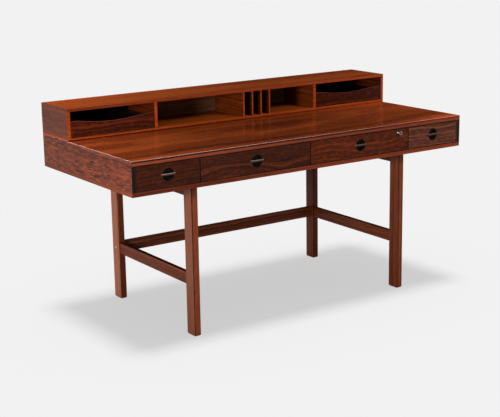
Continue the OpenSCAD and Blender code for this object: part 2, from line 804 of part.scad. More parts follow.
module lock_plug() {
    color("#c4c4be") difference() {
        union() {
            rod_y(lock_x, front_set - ring_proud, lock_z, plug_r, plug_y1 - front_set + ring_proud);
            rod_y(lock_x, plug_y1 - plug_disc_t + pin_gap, lock_z, plug_disc_r, plug_disc_t - pin_gap);
            rod_y(lock_x + crank * cos(45), plug_y1 - lock_gap, lock_z - crank * sin(45), crank_r,
                bolt_t + 2 * lock_gap);
        }
        rod_y(lock_x, front_set - ring_proud - over, lock_z, key_r + screw_gap, key_deep + over + screw_gap);
    }
}

// Round shank with a flat ring bow that stands upright
module key() {
    color("#d0d0cb") {
        difference() {
            union() {
                rod_y(lock_x, bow_y, lock_z, key_r, front_set - ring_proud + key_deep - bow_y);
                rod_x(lock_x - bow_t / 2, bow_y, lock_z, bow_r, bow_t);
                rod_y(lock_x, bow_y + bow_r, lock_z, key_r + collar_out, collar_l);
            }
            rod_x(lock_x - bow_t, bow_y, lock_z, bow_hole, 2 * bow_t);
        }
    }
}

// Gallery

module gallery_bottom() {
    color("#a8532c") difference() {
        block(-half_w, half_w, gallery_y, case_d, desk_h, shelf_z);
        for (k = [0 : hinge_n - 1]) {
            hinge_pocket(hinge_x(k), 1);
            screw_holes(hinge_x(k), 1);
        }
    }
}

module gallery_top() {
    color("#8c4123")
    block(-half_w, half_w, gallery_y, case_d, roof_z, desk_h + gallery_h);
}

module gallery_end(side) {
    color("#8a4630") flip(side)
        block(small_x1, half_w, gallery_y, case_d, shelf_z, roof_z);
}

module gallery_back() {
    color("#4a2418")
    block(-small_x1, small_x1, gallery_back_y, case_d, shelf_z, roof_z);
}

module gallery_wall(side) {
    color("#9c5230") flip(side)
        block(wall_x - wall_t / 2, small_x0, gallery_y, gallery_back_y, shelf_z, roof_z);
}

module letter_dividers() {
    color("#a85a34") for (k = [0 : divider_n - 1])
        block(divider_x + k * divider_step - divider_t / 2, divider_x + k * divider_step + divider_t / 2,
            gallery_y, gallery_back_y, shelf_z, roof_z);
}

module gallery_runners() {
    z = small_side_z + small_runner_up;
    color("#c8a878") for (side = [-1, 1]) flip(side) {
        block(small_x0, small_x0 + small_runner_w, small_runner_y, small_runner_y + small_runner_l,
            z, z + small_runner_h);
        block(small_x1 - small_runner_w, small_x1, small_runner_y, small_runner_y + small_runner_l,
            z, z + small_runner_h);
    }
}

// Small gallery drawers, drawn for the right side

// Height of the top edge, counted from the shoulders, at x from the middle of a small front.
// A hollow curve of radius r1 meets a rounded shoulder of radius r2 at a1, and the shoulder ends at a.
function dip_z(x, a) =
    let (
        angle = 2 * atan(dip_h / a),
        a1 = a * hollow_part,
        r1 = a1 / sin(angle),
        r2 = (a - a1) / sin(angle),
        d = abs(x)
    )
    d < a1 ? r1 - dip_h - sqrt(r1 * r1 - d * d) : sqrt(r2 * r2 - (a - d) * (a - d)) - r2;

// Outline of a small front of width w, with its shoulders at height 0
module small_outline(w) {
    a = w * dip_part / 2;
    polygon([
        [-w / 2, 0], [-w / 2, -small_h], [w / 2, -small_h], [w / 2, 0],
        for (k = [dip_n : -1 : 0]) [a * (2 * k / dip_n - 1), dip_z(a * (2 * k / dip_n - 1), a)]
    ]);
}

module small_front(side) {
    w = small_box_x1 - small_box_x0;
    z = small_side_z + small_floor_up;
    color("#55281b") flip(side) difference() {
        translate([(small_x0 + small_x1) / 2, small_y1, small_z0 + small_h]) rotate([90, 0, 0])
            linear_extrude(small_front_t) small_outline(w);
        block(small_x0, small_box_x0 + small_t, small_y1 - small_house, small_y1 + over,
            small_side_z, small_side_z + small_side_h);
        block(small_box_x1 - small_t, small_x1, small_y1 - small_house, small_y1 + over,
            small_side_z, small_side_z + small_side_h);
        block(small_box_x0 + small_t - small_let, small_box_x1 - small_t + small_let,
            small_y1 - small_let, small_y1 + over, z, z + small_floor_t);
    }
}

module small_box(side) {
    z = small_side_z + small_floor_up;
    color("#4a2418") flip(side) {
        box_sides(small_box_x0, small_box_x1, small_y1 - small_house, small_y1 + small_l,
            small_side_z, small_side_h, small_t, z, small_floor_t, small_let,
            small_y1 + small_groove_start, small_side_z + small_runner_up - runner_gap,
            small_runner_h + 2 * runner_gap, small_groove_d);
        block(small_box_x0 + small_t + glue_gap, small_box_x1 - small_t - glue_gap,
            small_y1 + small_l - small_t, small_y1 + small_l, z + small_floor_t, small_side_z + small_side_h);
    }
}

module small_bottom(side) {
    z = small_side_z + small_floor_up;
    color("#4a2418") flip(side)
        block(small_box_x0 + small_t - small_let, small_box_x1 - small_t + small_let,
            small_y1 - small_let, small_y1 + small_l, z, z + small_floor_t);
}

place() case_top();
place() case_bottom();
place() case_side(-1);  // case_side_left
place() case_side(1);  // case_side_right
place() case_back();
place() partitions();
place() drawer_runners();
place() hinge_leaves_case();
place() hinge_pins();
place() hinge_screws(-1);  // hinge_screws_case
place() back_buffers();
place() front_leg(-1);  // leg_front_left
place() front_leg(1);  // leg_front_right
place() rear_leg(-1);  // leg_rear_left
place() rear_leg(1);  // leg_rear_right
place() top_rail(-1);  // top_rail_left
place() top_rail(1);  // top_rail_right
place() side_stretcher(-1);  // side_stretcher_left
place() side_stretcher(1);  // side_stretcher_right
place() back_stretcher();
place() stretcher_bolts();
place() barrel_nuts();
place() frame_screws();
place() drawer_front(0);  // drawer_1_front
place() drawer_box(0);  // drawer_1_box
place() drawer_bottom(0);  // drawer_1_bottom
place() pull_bar(0);  // drawer_1_pull
place() drawer_front(1);  // drawer_2_front
place() drawer_box(1);  // drawer_2_box
place() drawer_bottom(1);  // drawer_2_bottom
place() pull_bar(1);  // drawer_2_pull
place() drawer_front(2);  // drawer_3_front
place() drawer_box(2);  // drawer_3_box
place() drawer_bottom(2);  // drawer_3_bottom
place() pull_bar(2);  // drawer_3_pull
place() drawer_front(3);  // drawer_4_front
place() drawer_box(3);  // drawer_4_box
place() drawer_bottom(3);  // drawer_4_bottom
place() pull_bar(3);  // drawer_4_pull
place() lock_case();
place() lock_bolt();
place() lock_plug();
place() key();
place() gallery_bottom();
place() gallery_top();
place() gallery_end(-1);  // gallery_end_left
place() gallery_end(1);  // gallery_end_right
place() gallery_back();
place() gallery_wall(-1);  // gallery_wall_left
place() gallery_wall(1);  // gallery_wall_right
place() letter_dividers();
place() gallery_runners();
place() hinge_leaves_gallery();
place() hinge_screws(1);  // hinge_screws_gallery
place() small_front(-1);  // small_left_front
place() small_box(-1);  // small_left_box
place() small_bottom(-1);  // small_left_bottom
place() small_front(1);  // small_right_front
place() small_box(1);  // small_right_box
place() small_bottom(1);  // small_right_bottom
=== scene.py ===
import json
import math

import bmesh
import bpy
from mathutils import Matrix, Vector


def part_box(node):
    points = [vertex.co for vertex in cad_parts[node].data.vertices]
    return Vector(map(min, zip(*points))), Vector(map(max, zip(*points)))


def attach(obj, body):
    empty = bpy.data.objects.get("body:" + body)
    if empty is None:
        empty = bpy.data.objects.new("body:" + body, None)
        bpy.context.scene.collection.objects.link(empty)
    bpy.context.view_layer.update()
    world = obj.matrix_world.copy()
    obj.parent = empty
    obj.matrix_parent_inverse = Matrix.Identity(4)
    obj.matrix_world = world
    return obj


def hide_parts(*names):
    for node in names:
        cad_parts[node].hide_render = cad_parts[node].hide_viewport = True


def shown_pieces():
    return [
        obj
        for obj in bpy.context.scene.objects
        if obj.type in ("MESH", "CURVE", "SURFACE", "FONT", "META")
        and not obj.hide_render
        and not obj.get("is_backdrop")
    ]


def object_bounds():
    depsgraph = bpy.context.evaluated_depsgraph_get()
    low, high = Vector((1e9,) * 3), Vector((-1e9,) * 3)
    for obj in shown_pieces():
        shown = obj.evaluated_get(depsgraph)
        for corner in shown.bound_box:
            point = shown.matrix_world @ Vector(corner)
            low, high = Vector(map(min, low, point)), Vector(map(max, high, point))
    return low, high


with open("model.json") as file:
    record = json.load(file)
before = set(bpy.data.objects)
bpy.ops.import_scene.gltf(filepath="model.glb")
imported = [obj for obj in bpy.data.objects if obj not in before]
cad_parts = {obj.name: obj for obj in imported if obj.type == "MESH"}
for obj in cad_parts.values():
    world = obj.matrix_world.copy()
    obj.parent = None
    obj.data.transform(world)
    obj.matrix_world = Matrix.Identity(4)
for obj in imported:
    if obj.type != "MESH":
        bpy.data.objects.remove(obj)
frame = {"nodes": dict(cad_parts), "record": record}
cad_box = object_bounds()

# Executive desk in veneered rosewood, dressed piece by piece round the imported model.
# Lengths are in metres. X runs along the desk's width, Y from the front to the back, Z up from the floor.

nodes = frame["nodes"]
body_of_node = {n: b for b, ns in frame["record"]["behaviour"]["bodies"].items() for n in ns}
slot_of_node = {part["node"]: part["material_slot"] for part in frame["record"]["subparts"]}


# Camera of the photograph, found from 24 corners of the desk

PHOTO_WIDTH = 500
FOCAL_PIXELS = 1191.94
SENSOR = 0.036
CAMERA_AT = Vector((-2.8540, -4.1205, 1.6015))
YAW, PITCH, ROLL = 0.597093, -0.239042, -0.016462


def make_camera():
    """The photograph's camera, as its place, its turn about Z, its tilt and its roll."""
    forward = Vector((math.sin(YAW) * math.cos(PITCH), math.cos(YAW) * math.cos(PITCH), math.sin(PITCH)))
    level = Vector((math.cos(YAW), -math.sin(YAW), 0))
    up = level.cross(forward)
    right = math.cos(ROLL) * level + math.sin(ROLL) * up
    top = -math.sin(ROLL) * level + math.cos(ROLL) * up
    data = bpy.data.cameras.new("camera")
    data.sensor_width = SENSOR * 1000
    data.lens = FOCAL_PIXELS / PHOTO_WIDTH * SENSOR * 1000
    data.clip_end = 200
    cam = bpy.data.objects.new("camera", data)
    turn = Matrix((right, top, -forward)).transposed().to_4x4()
    cam.matrix_world = Matrix.Translation(CAMERA_AT) @ turn
    bpy.context.scene.collection.objects.link(cam)
    bpy.context.scene.camera = cam


# Small helpers for materials

# Name under which each corner keeps its place in its board
GRAIN = "grain"


def linear(red, green, blue):
    """Linear colour of an sRGB triple from 0 to 255."""
    def one(x):
        x /= 255
        return x / 12.92 if x <= 0.04045 else ((x + 0.055) / 1.055) ** 2.4
    return (one(red), one(green), one(blue), 1)


class Graph:
    """The node tree of a material or a world, with short calls for the nodes used here."""

    def __init__(self, owner):
        owner.use_nodes = True
        self.owner = owner
        self.tree = owner.node_tree

    def node(self, kind, **settings):
        made = self.tree.nodes.new(kind)
        for key, value in settings.items():
            setattr(made, key, value)
        return made

    def feed(self, socket, value):
        """Links an output to a socket, or writes a number or colour into it."""
        if hasattr(value, "is_output"):
            self.tree.links.new(value, socket)
        else:
            socket.default_value = value

    def call(self, made, *values):
        """First output of a node whose first inputs get those values."""
        for socket, value in zip(made.inputs, values):
            self.feed(socket, value)
        return made.outputs[0]

    def math(self, operation, a, b, clamp=False):
        return self.call(self.node("ShaderNodeMath", operation=operation, use_clamp=clamp), a, b)

    def add(self, a, b):
        return self.math("ADD", a, b)

    def times(self, a, b):
        return self.math("MULTIPLY", a, b)

    def swing(self, noise, reach):
        """How far a noise is above or below its middle, times reach."""
        return self.times(self.math("SUBTRACT", noise, 0.5), reach)

    def vector(self, operation, a, b):
        return self.call(self.node("ShaderNodeVectorMath", operation=operation), a, b)

    def place(self, axis):
        """Where the point lies on an axis of the desk."""
        apart = self.node("ShaderNodeSeparateXYZ")
        self.feed(apart.inputs[0], self.node("ShaderNodeTexCoord").outputs["Object"])
        return apart.outputs[axis]

    def noise(self, at, scale=1.0, detail=2.0, rough=0.5, dimensions="3D"):
        made = self.node("ShaderNodeTexNoise", noise_dimensions=dimensions)
        self.feed(made.inputs["W" if dimensions == "1D" else "Vector"], at)
        made.inputs["Scale"].default_value = scale
        made.inputs["Detail"].default_value = detail
        made.inputs["Roughness"].default_value = rough
        return made.outputs["Fac"]

    def figure(self, at, along, across, **settings):
        """Noise that repeats itself so many times in a metre along and across the grain."""
        return self.noise(self.vector("MULTIPLY", at, (along, across, across)), **settings)

    def span(self, value, low, high, to_low=0.0, to_high=1.0):
        """Value taken from low..high to to_low..to_high, with a smooth course and flat ends."""
        made = self.node("ShaderNodeMapRange", interpolation_type="SMOOTHSTEP")
        return self.call(made, value, low, high, to_low, to_high)

    def mix(self, share, a, b, blend="MIX"):
        made = self.node("ShaderNodeMix", data_type="RGBA", blend_type=blend)
        self.feed(made.inputs[0], share)
        self.feed(made.inputs[6], a)
        self.feed(made.inputs[7], b)
        return made.outputs[2]

    def ramp(self, value, *stops):
        """Colour that goes through the (place, colour) pairs, with at least two of them."""
        made = self.node("ShaderNodeValToRGB")
        points = made.color_ramp.elements
        for point, (at, colour) in zip(points, (stops[0], stops[-1])):
            point.position = at
            point.color = colour
        for at, colour in stops[1:-1]:
            points.new(at).color = colour
        return self.call(made, value)


class Finish(Graph):
    """A material with the standard surface shader."""

    def __init__(self, name):
        super().__init__(bpy.data.materials.new(name))
        self.inputs = self.tree.nodes["Principled BSDF"].inputs

    def board_place(self):
        """The point's place in its board: X along the grain, Y and Z from the tree's middle line."""
        return self.node("ShaderNodeAttribute", attribute_name=GRAIN).outputs["Vector"]

    def desk_place(self):
        return self.node("ShaderNodeTexCoord").outputs["Object"]

    def dress(self, colour, roughness, height, strength, distance):
        """Gives the shader its colour, roughness and bump, and returns the material."""
        self.feed(self.inputs["Base Color"], colour)
        self.feed(self.inputs["Roughness"], roughness)
        bump = self.node("ShaderNodeBump")
        bump.inputs["Strength"].default_value = strength
        bump.inputs["Distance"].default_value = distance
        self.feed(bump.inputs["Height"], height)
        self.feed(self.inputs["Normal"], bump.outputs[0])
        return self.owner


# Wood

# Width of the whole desk
WIDTH = cad_box[1][0] - cad_box[0][0]


def rosewood(name, dark, middle, light, ring=0.011, wave=0.012, mottle=0.3, dash=24.0, fleck=0.6,
             contrast=1.0, pore=0.45, shine=0.4, rough=0.34, painted_light_along=None, front=None):
    """Lacquered rosewood whose veins go from a dark over a middle to a light sRGB colour.

    ring is the mean width of a growth band and wave how far the bands wander. mottle is the strength of the
    short pale and dark dashes and dash how many of them follow one another in a metre. fleck is the strength
    of the dark veins, pore that of the fine pores, and contrast that of the bands. painted_light_along holds
    how pale the board is painted at some places along the desk's width, as painted light and highlights that
    fall unevenly along it. front holds how much paler the board is painted at the desk's front, as a painted
    sheen, and how far back that reaches.
    """
    g = Finish(name)
    dark, middle, light = linear(*dark), linear(*middle), linear(*light)
    at = g.board_place()

    # The bands lie round the tree's middle line and wander
    broad = g.figure(at, 1.3, 5.0, detail=2)
    fine = g.figure(at, 7.0, 30.0, detail=3, rough=0.6)
    wander = g.add(g.swing(broad, 6 * wave), g.swing(fine, wave))
    cross = g.node("ShaderNodeVectorMath", operation="LENGTH")
    g.feed(cross.inputs[0], g.vector("MULTIPLY", at, (0, 1, 1)))
    radius = g.add(cross.outputs["Value"], wander)
    bands = g.noise(g.math("DIVIDE", radius, ring), detail=4, rough=0.62, dimensions="1D")
    bands = g.add(g.swing(bands, 1.7 * contrast), 0.5)

    # Dashes and veins follow the wandering bands, and pores lie straight
    flow = g.vector("ADD", at, g.call(g.node("ShaderNodeCombineXYZ"), 0.0, wander, wander))
    dashes = g.figure(flow, dash, 170.0, detail=2, rough=0.6)
    veins = g.figure(flow, 12.0, 150.0, detail=3, rough=0.65)
    veins = g.span(g.add(veins, g.swing(broad, 0.25)), 0.52, 0.72, 0.0, fleck)
    pores = g.span(g.figure(at, 70.0, 1600.0, detail=1), 0.58, 0.74, 0.0, pore)

    colour = g.ramp(bands, (0.18, dark), (0.5, middle), (0.82, light))
    colour = g.mix(g.times(g.span(dashes, 0.52, 0.68), mottle), colour, light)
    colour = g.mix(g.times(g.span(dashes, 0.48, 0.34), mottle), colour, dark)
    colour = g.mix(veins, colour, dark)
    colour = g.mix(pores, colour, dark)

    # Broad paler and darker stretches
    shade = g.span(g.figure(at, 0.8, 7.0, detail=1), 0.3, 0.7, 0.82, 1.16)
    # Painted light: the shares along the desk's width and at its front stand in for uneven light, highlights
    # and sheen
    if painted_light_along:
        shade = g.times(shade, paint_light_along(g, painted_light_along))
    if front:
        shade = g.times(shade, paint_light_at_front(g, *front))
    grey = g.call(g.node("ShaderNodeCombineColor"), shade, shade, shade)
    colour = g.mix(1.0, colour, grey, blend="MULTIPLY")

    # Handling leaves the lacquer a little uneven, and the pores and veins stay duller than the rest
    rubbed = g.figure(at, 3.0, 9.0, detail=4, rough=0.7)
    dull = g.add(g.span(rubbed, 0.3, 0.75, 0.85 * rough, 1.2 * rough), g.times(pores, 0.27))
    dull = g.add(dull, g.times(veins, 0.08))
    g.inputs["Specular IOR Level"].default_value = shine
    height = g.math("SUBTRACT", g.times(bands, 0.35), g.times(pores, 2.2))
    return g.dress(colour, dull, height, 0.25, 0.00012)


def paint_light_along(g, painted_light_along):
    """Painted light and highlights: share that follows (place, share) pairs along the desk's width, with
    straight courses between them.
    """
    along = g.add(g.math("DIVIDE", g.place("X"), WIDTH), 0.5)
    most = max(share for place, share in painted_light_along)
    stops = [(place / WIDTH + 0.5, (share / most,) * 3 + (1,)) for place, share in painted_light_along]
    return g.times(g.ramp(along, *stops), most)


def paint_light_at_front(g, share, reach):
    """Painted sheen: share at the desk's front edge that falls to 1 at that distance behind it."""
    front = cad_box[0][1]
    return g.span(g.place("Y"), front, front + reach, share, 1.0)


def maple(name):
    """Pale wood of the drawer boxes and runners, matt lacquered."""
    g = Finish(name)
    at = g.board_place()
    broad = g.figure(at, 2.0, 14.0, detail=3)
    lines = g.figure(at, 5.0, 210.0, detail=3, rough=0.6)
    both = g.add(g.times(broad, 0.55), g.times(lines, 0.45))
    colour = g.ramp(both, (0.3, linear(176, 124, 74)), (0.52, linear(205, 160, 104)),
                    (0.72, linear(224, 186, 134)))
    pores = g.span(g.figure(at, 60.0, 1300.0, detail=1), 0.6, 0.75)
    colour = g.mix(g.times(pores, 0.3), colour, linear(140, 92, 52))
    g.inputs["Specular IOR Level"].default_value = 0.35
    return g.dress(colour, g.span(broad, 0.3, 0.7, 0.48, 0.6), g.math("SUBTRACT", lines, pores), 0.2, 0.0001)


# Metal and felt

# Brush lines in a metre of metal
BRUSHING = 900.0


def metal(name, bright, worn, rough, stretch=(1.0, 1.0, 1.0)):
    """Metal with fine brushing along the shortest side of stretch and dull worn spots."""
    g = Finish(name)
    at = g.desk_place()
    brushing = g.noise(g.vector("MULTIPLY", at, tuple(BRUSHING * s for s in stretch)), detail=2)
    tarnish = g.span(g.noise(at, scale=130, detail=4, rough=0.65), 0.5, 0.72)
    colour = g.mix(g.times(tarnish, 0.7), linear(*bright), linear(*worn))
    dull = g.add(g.times(brushing, 0.12), g.times(tarnish, 0.16))
    g.inputs["Metallic"].default_value = 1
    return g.dress(colour, g.add(dull, rough), brushing, 0.12, 0.00005)


def felt(name):
    """Dark brown felt of the buffers."""
    g = Finish(name)
    at = g.desk_place()
    fibres = g.noise(at, scale=1800, detail=3, rough=0.7)
    clumps = g.noise(at, scale=260, detail=2)
    both = g.add(g.times(fibres, 0.6), g.times(clumps, 0.4))
    colour = g.ramp(both, (0.3, linear(34, 26, 22)), (0.7, linear(74, 58, 48)))
    g.inputs["Sheen Weight"].default_value = 0.4
    return g.dress(colour, g.span(clumps, 0.3, 0.7, 0.88, 0.98), fibres, 0.6, 0.0004)


# Materials of the desk, each wood with its dark, middle and light sRGB colour

# Grain and lacquer that several of them share
EDGE = {"ring": 0.005, "wave": 0.002, "fleck": 0.35, "contrast": 0.8}
SHELF = {"ring": 0.010, "wave": 0.006, "contrast": 0.8, "shine": 0.15, "rough": 0.40}
FRAME = {"ring": 0.007, "wave": 0.004, "fleck": 0.45, "contrast": 0.9, "shine": 0.2, "rough": 0.38}
LEG = {"ring": 0.007, "wave": 0.004, "fleck": 0.3, "contrast": 0.6, "shine": 0.3, "rough": 0.36}
OPENING = {"ring": 0.008, "wave": 0.006, "fleck": 0.5, "contrast": 0.7, "shine": 0.1, "rough": 0.42}
SMALL = {"ring": 0.004, "wave": 0.002}
ROUNDING = {"ring": 0.006, "wave": 0.002, "mottle": 0.1, "contrast": 0.4}

# The middle colour of each drawer front, and its dark and light veins as shares of that colour. The fronts
# are painted paler towards the right and the fourth greyer, as painted light and sheen
FRONTS = {1: (73, 30, 14), 2: (78, 33, 17), 3: (98, 38, 15), 4: (106, 56, 40)}
FRONT_DARK = (0.58, 0.62, 0.76)
FRONT_LIGHT = (1.58, 1.66, 1.5)


def drawer_veneer(i):
    """Veneer on the front of drawer i."""
    dark, light = ([share * part for share, part in zip(shares, FRONTS[i])]
                   for shares in (FRONT_DARK, FRONT_LIGHT))
    return rosewood(f"rosewood_drawer_{i}", dark, FRONTS[i], light, ring=0.012, wave=0.024, mottle=0.45,
                    dash=40.0, fleck=0.8, contrast=0.6, shine=0.14, rough=0.36)


MATERIALS = {
    # Broad faces
    # The desk top is painted paler towards both ends, as painted light, and along its front, as painted
    # sheen
    "top": rosewood(
        "rosewood_desk_top", (76, 29, 11), (112, 46, 17), (146, 66, 25),
        ring=0.016, wave=0.010, contrast=0.85, shine=0.28, rough=0.23, front=(1.9, 0.12),
        painted_light_along=((-0.80, 1.7), (-0.60, 1.3), (-0.30, 0.84), (0.35, 0.82), (0.55, 1.20), (0.75, 1.85))),
    # The gallery top is painted paler towards its left end, as painted light from the left
    "gallery_top": rosewood(
        "rosewood_gallery_top", (98, 39, 13), (138, 58, 19), (168, 80, 28),
        ring=0.016, wave=0.006, fleck=0.3, contrast=0.8, shine=0.15,
        painted_light_along=((-0.80, 2.2), (-0.40, 1.45), (0.10, 1.0), (0.80, 0.95))),
    "side": rosewood(
        "rosewood_side", (66, 36, 28), (136, 58, 31), (186, 84, 42),
        ring=0.014, wave=0.022, mottle=0.95, fleck=1.0, contrast=0.6, shine=0.3, rough=0.36),
    "gallery_side": rosewood(
        "rosewood_gallery_side", (70, 36, 27), (116, 54, 32), (146, 72, 42),
        ring=0.014, wave=0.016, mottle=0.5, contrast=0.6, shine=0.3, rough=0.36),
    "dark": rosewood(
        "rosewood_small_front", (42, 17, 11), (73, 27, 14), (116, 47, 22),
        ring=0.012, wave=0.024, mottle=0.6, dash=40.0, contrast=0.6, shine=0.14, rough=0.36),
    **{f"front_{i}": drawer_veneer(i) for i in FRONTS},

    # Front and end edges of the boards
    # The gallery top's front edge is painted darker towards the left, as painted shade
    "lip": rosewood(
        "rosewood_gallery_lip", (130, 44, 10), (184, 72, 20), (214, 94, 32), shine=0.2, **EDGE,
        painted_light_along=((-0.80, 0.42), (-0.50, 0.55), (-0.10, 0.78), (0.45, 0.95))),
    "edge": rosewood("rosewood_edge", (130, 43, 9), (184, 70, 18), (214, 92, 28), shine=0.2, **EDGE),
    "rim": rosewood("rosewood_rim", (104, 44, 22), (146, 66, 36), (172, 84, 48), shine=0.2, **EDGE),
    # The case bottom's front edge is painted darker towards the left, as painted shade
    "rim_low": rosewood(
        "rosewood_case_bottom_edge", (112, 42, 18), (148, 58, 28), (172, 74, 40), shine=0.2, **EDGE,
        painted_light_along=((-0.80, 0.45), (-0.50, 0.58), (-0.10, 0.95), (0.80, 1.15))),
    # Dark line on the desk top's edges, painted paler towards the right as painted light; it is also the
    # painted shade along the foot of the gallery bottom's front edge
    "rim_dark": rosewood(
        "rosewood_rim_dark", (46, 14, 5), (68, 22, 9), (90, 32, 13), shine=0.1, rough=0.4, **EDGE,
        painted_light_along=((-0.80, 0.8), (-0.30, 1.2), (0.20, 1.8), (0.50, 2.8), (0.80, 5.0))),
    # Dark edges and inner faces of the case sides, and painted shade in the drawer fronts' gaps, under the
    # pulls and inside the small drawers
    "black": rosewood(
        "rosewood_dark_edge", (22, 14, 12), (34, 22, 19), (50, 31, 25),
        fleck=0.5, shine=0.2, rough=0.36, **SMALL),

    # Inside the gallery and the case
    "shelf": rosewood("rosewood_shelf", (126, 52, 14), (176, 80, 24), (200, 100, 34), fleck=0.3, **SHELF),
    "inside": rosewood("rosewood_inside", (72, 29, 8), (116, 49, 15), (144, 69, 22), fleck=0.4, **SHELF),
    # The gallery back in the open bays is painted pale, as painted light
    "deep": rosewood(
        "rosewood_gallery_back", (92, 64, 42), (128, 90, 60), (154, 112, 76),
        ring=0.010, wave=0.008, fleck=0.5, contrast=0.7, shine=0.1, rough=0.42),
    # A darker copy of the inside wood for the walls beside the small drawers' openings, as painted shade
    "wall": rosewood("rosewood_opening_wall", (58, 21, 7), (92, 34, 11), (118, 48, 16), **OPENING),
    # A dark copy of the inside wood for the faces in the letter slots, as painted shade
    "slot": rosewood("rosewood_divider", (36, 15, 7), (62, 24, 10), (88, 38, 16), **OPENING),
    "pale": maple("maple"),

    # Leg frames
    "frame": rosewood("rosewood_frame", (76, 32, 16), (128, 60, 32), (154, 78, 44), **FRAME),
    # Paler copies of the frame wood for the front legs and the left faces of the left legs, as painted light
    "frame_front": rosewood("rosewood_front_legs", (84, 35, 17), (140, 66, 35), (168, 86, 48), **FRAME),
    "leg_front": rosewood("rosewood_leg_front", (108, 59, 41), (142, 80, 55), (163, 97, 69), **LEG),
    "leg_rear": rosewood("rosewood_leg_rear", (164, 92, 67), (208, 122, 90), (234, 148, 110), **LEG),
    # Dark line beside the left corner of a front leg's front face
    "streak": rosewood(
        "rosewood_leg_streak", (40, 20, 12), (58, 30, 18), (76, 40, 26), shine=0.15, rough=0.4, **EDGE),

    # Pulls, and the dish behind them
    # The pulls are painted greyish and vary in paleness along the desk, as painted sheen
    "pull": rosewood(
        "rosewood_pull", (62, 40, 38), (88, 60, 57), (110, 78, 72),
        fleck=0.1, pore=0.05, shine=0.9, rough=0.46, **SMALL,
        painted_light_along=((-0.60, 1.3), (-0.20, 1.1), (0.20, 1.3), (0.70, 1.0))),
    "pull_front": rosewood(
        "rosewood_pull_front", (52, 32, 27), (74, 46, 38), (94, 60, 50),
        fleck=0.3, pore=0.1, shine=0.3, rough=0.4, **SMALL),
    # The dish behind the pulls is nearly black; on the gallery back behind the small drawers the same paint
    # is painted shade
    "recess": rosewood(
        "rosewood_recess", (14, 15, 12), (20, 21, 17), (32, 28, 20),
        fleck=0.5, shine=0.15, rough=0.42, **SMALL),

    # Rounded arrises
    # Shining arrises, painted paler towards the right as a painted highlight beside the arris lamps
    "arris": rosewood(
        "rosewood_arris", (70, 32, 24), (94, 44, 34), (118, 58, 46),
        fleck=0.0, pore=0.0, shine=1.0, rough=0.42, **ROUNDING,
        painted_light_along=((-0.80, 1.0), (0.10, 1.0), (0.50, 1.6), (0.80, 2.4))),
    # Pale greyish arrises that take no arris lamps, as painted sheen
    "arris_dull": rosewood(
        "rosewood_arris_dull", (96, 48, 36), (122, 64, 48), (144, 80, 62), fleck=0.1, rough=0.3, **ROUNDING),

    # Metal and felt
    "brass": metal("brass", (250, 222, 168), (190, 150, 100), 0.45, stretch=(0.08, 1.0, 1.0)),
    "brass_aged": metal("brass_aged", (112, 72, 44), (84, 52, 34), 0.7, stretch=(1.0, 1.0, 0.1)),
    "steel": metal("steel", (176, 176, 172), (120, 116, 110), 0.28, stretch=(1.0, 1.0, 0.1)),
    "browned": metal("browned_steel", (62, 52, 44), (34, 28, 24), 0.30),
    "nickel": metal("nickel", (232, 230, 226), (176, 170, 162), 0.30),
    "felt": felt("felt"),
}


# Boards: copies of the wooden nodes with softened arrises and their own grain

AXES = {"X": Vector((1, 0, 0)), "Y": Vector((0, 1, 0)), "Z": Vector((0, 0, 1))}
ARRIS = "arris"

# How near two places count as one plane and as one corner, and the faces across a rounded arris
FLAT = 1e-5
MERGE = 1e-6
SOFT_STEPS = 3

# Least share of a normal that looks to a side, and angles in degrees
FACING = 0.7
FLAT_ANGLE = 0.5
SHARP_ANGLE = 40
SHADED_ANGLE = 36


def on_box_edge(edge, low, high):
    """True if the edge lies along an edge of the box low..high."""
    held = 0
    for k in range(3):
        for limit in (low[k], high[k]):
            held += all(abs(v.co[k] - limit) < FLAT for v in edge.verts)
    return held >= 2


def on_front(edge, low, high):
    """True if the edge lies in the front face of the box low..high."""
    return all(abs(v.co.y - low.y) < FLAT for v in edge.verts)


def any_edge(edge, low, high):
    """Lets every sharp edge be rounded."""
    return True


def is_sharp(edge):
    """True if the two faces of the edge meet outwards at a clear angle."""
    if len(edge.link_faces) != 2 or not edge.is_convex:
        return False
    return edge.calc_face_angle(0) > math.radians(SHARP_ANGLE)


def pith_of(node):
    """Place of the board's origin in its tree, another one for each node."""
    order = sorted(nodes).index(node)
    return Vector((0.83 * order, 0.05 + 0.031 * (order % 7), 0.06 + 0.023 * (order % 5)))


def write_grain(mesh, grain, pith):
    """Gives each corner its place in the board: X along the grain, Y and Z from the tree's middle line."""
    along = AXES[grain]
    others = [AXES[a] for a in "XYZ" if a != grain]
    layer = mesh.attributes.new(GRAIN, "FLOAT_VECTOR", "CORNER")
    for face in mesh.polygons:
        axes = [along, *others]
        if abs(face.normal.dot(along)) > FACING:
            axes = [others[0], along, others[1]]
        for corner in face.loop_indices:
            co = mesh.vertices[mesh.loops[corner].vertex_index].co
            layer.data[corner].vector = Vector([co.dot(axis) for axis in axes]) + pith


